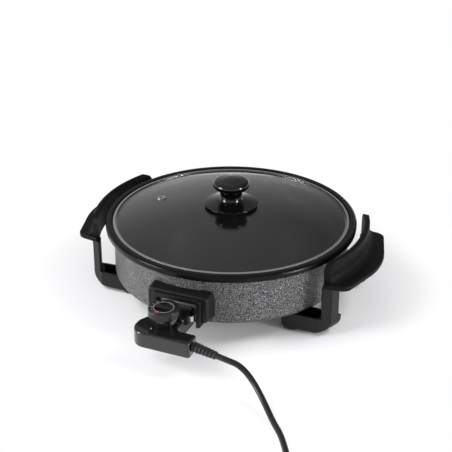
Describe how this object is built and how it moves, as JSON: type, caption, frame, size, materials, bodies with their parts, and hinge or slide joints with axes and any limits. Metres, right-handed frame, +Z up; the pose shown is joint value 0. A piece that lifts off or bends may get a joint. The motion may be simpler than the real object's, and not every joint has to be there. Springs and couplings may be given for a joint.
{
  "type": "electric paella pan",
  "caption": "Round electric pan on moulded legs with wing grips, a domed glass lid that lifts off and a plug-in heat control with a dial and mains cord.",
  "frame": {"origin": "on the pan's axis at table level, in the plane of the feet", "axes": "+Z up, +X towards the right grip, -Y towards the socket and its heat control"},
  "size_m": [0.4793, 0.6309, 0.1542],
  "materials": {
    "cast_aluminium": "hammertone enamel outside, black rim, black non-stick bowl",
    "sheath_steel": "dull oxidised sheath",
    "plated_steel": "zinc plated",
    "polished_steel": "polished stainless",
    "white_ceramic": "unglazed steatite",
    "bakelite": "satin black phenolic",
    "gloss_bakelite": "polished black phenolic",
    "control_plastic": "glossy black",
    "dial_plastic": "satin dark grey with printed marks",
    "plug_plastic": "satin black moulded plastic",
    "black_rubber": "matt black",
    "cord_rubber": "smooth black sheath",
    "tie_fabric": "black woven strap",
    "tempered_glass": "clear tempered glass",
    "plain_brass": "bright",
    "plated_brass": "nickel plated"
  },
  "bodies": {
    "pan": {"pan_body": "cast_aluminium", "heating_element": "sheath_steel", "terminal_pins": "plated_steel", "terminal_beads": "white_ceramic", "socket_plate": "plated_steel", "socket_shroud": "bakelite", "shroud_screws": "plated_steel", "front_right_leg": "bakelite", "rear_right_leg": "bakelite", "front_left_leg": "bakelite", "rear_left_leg": "bakelite", "leg_screws": "plated_steel", "grip_screws": "plated_steel", "foot_pads": "black_rubber", "right_grip": "bakelite", "left_grip": "bakelite"},
    "lid": {"lid_glass": "tempered_glass", "lid_band": "polished_steel", "vent_eyelet": "polished_steel", "knob_skirt": "gloss_bakelite", "lid_knob": "gloss_bakelite", "knob_seal": "black_rubber", "knob_washer": "plated_steel", "knob_screw": "plated_steel"},
    "control": {"control_top": "control_plastic", "control_base": "control_plastic", "control_screws": "plated_steel", "contact_sleeves": "plain_brass", "earth_springs": "plain_brass", "thermostat_bracket": "plated_steel", "heat_probe": "polished_steel", "ceramic_posts": "white_ceramic", "bimetal_blade": "sheath_steel", "strain_relief": "black_rubber", "cord_run": "cord_rubber", "cord_coil": "cord_rubber", "cord_tie": "tie_fabric", "mains_plug": "plug_plastic", "plug_pins": "plated_brass"},
    "dial": {"heat_dial": "dial_plastic", "dial_spindle": "plated_steel"}
  },
  "joints": [
    {"name": "lid_lift", "type": "slide", "parent": "pan", "child": "lid", "axis": [0, 0, 1], "range_m": [0, 0.15]},
    {"name": "control_unplug", "type": "slide", "parent": "pan", "child": "control", "axis": [0, -1, 0], "range_m": [0, 0.06]},
    {"name": "dial_turn", "type": "hinge", "parent": "control", "child": "dial", "pos_m": [0, -0.2, 0.066], "axis": [0, 0, 1], "range_deg": [0, 250]}
  ]
}
